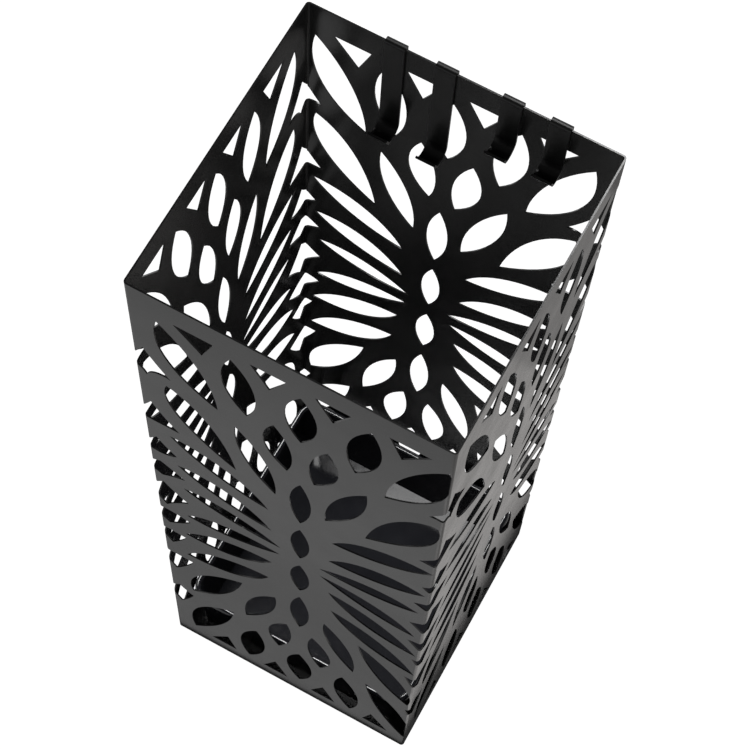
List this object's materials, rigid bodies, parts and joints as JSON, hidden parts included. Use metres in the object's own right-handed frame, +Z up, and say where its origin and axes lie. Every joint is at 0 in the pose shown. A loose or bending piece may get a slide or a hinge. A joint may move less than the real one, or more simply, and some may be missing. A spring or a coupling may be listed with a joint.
{
  "type": "umbrella stand",
  "caption": "Slim square umbrella stand of leaf-perforated black steel sheet, with a loose drip tray and strip hooks for short umbrellas over the back rim.",
  "frame": {"origin": "on the floor, under the middle of the stand", "axes": "+Z up; the front wall faces -Y, the wall with the hooks is at +Y, +X to the right seen from the front"},
  "size_m": [0.155, 0.1565, 0.4915],
  "materials": {
    "powder_coated_steel": "satin black powder coat",
    "hook_steel": "satin black coat",
    "tray_plastic": "glossy black",
    "foot_rubber": "matte black"
  },
  "bodies": {
    "stand": {"shell_front_right": "powder_coated_steel", "shell_back_left": "powder_coated_steel", "base_plate": "powder_coated_steel", "foot_front_left": "foot_rubber", "foot_front_right": "foot_rubber", "foot_back_left": "foot_rubber", "foot_back_right": "foot_rubber"},
    "drip_tray": {"drip_tray": "tray_plastic"},
    "hook_long_left": {"hook_long_left": "hook_steel"},
    "hook_long_right": {"hook_long_right": "hook_steel"},
    "hook_short_left": {"hook_short_left": "hook_steel"},
    "hook_short_right": {"hook_short_right": "hook_steel"}
  },
  "joints": [
    {"name": "drip_tray_lift", "type": "slide", "parent": "stand", "child": "drip_tray", "axis": [0, 0, 1], "range_m": [0, 0.33]},
    {"name": "hook_long_left_lift", "type": "slide", "parent": "stand", "child": "hook_long_left", "axis": [0, 0, 1], "range_m": [0, 0.08]},
    {"name": "hook_long_right_lift", "type": "slide", "parent": "stand", "child": "hook_long_right", "axis": [0, 0, 1], "range_m": [0, 0.08]},
    {"name": "hook_short_left_lift", "type": "slide", "parent": "stand", "child": "hook_short_left", "axis": [0, 0, 1], "range_m": [0, 0.05]},
    {"name": "hook_short_right_lift", "type": "slide", "parent": "stand", "child": "hook_short_right", "axis": [0, 0, 1], "range_m": [0, 0.05]}
  ]
}
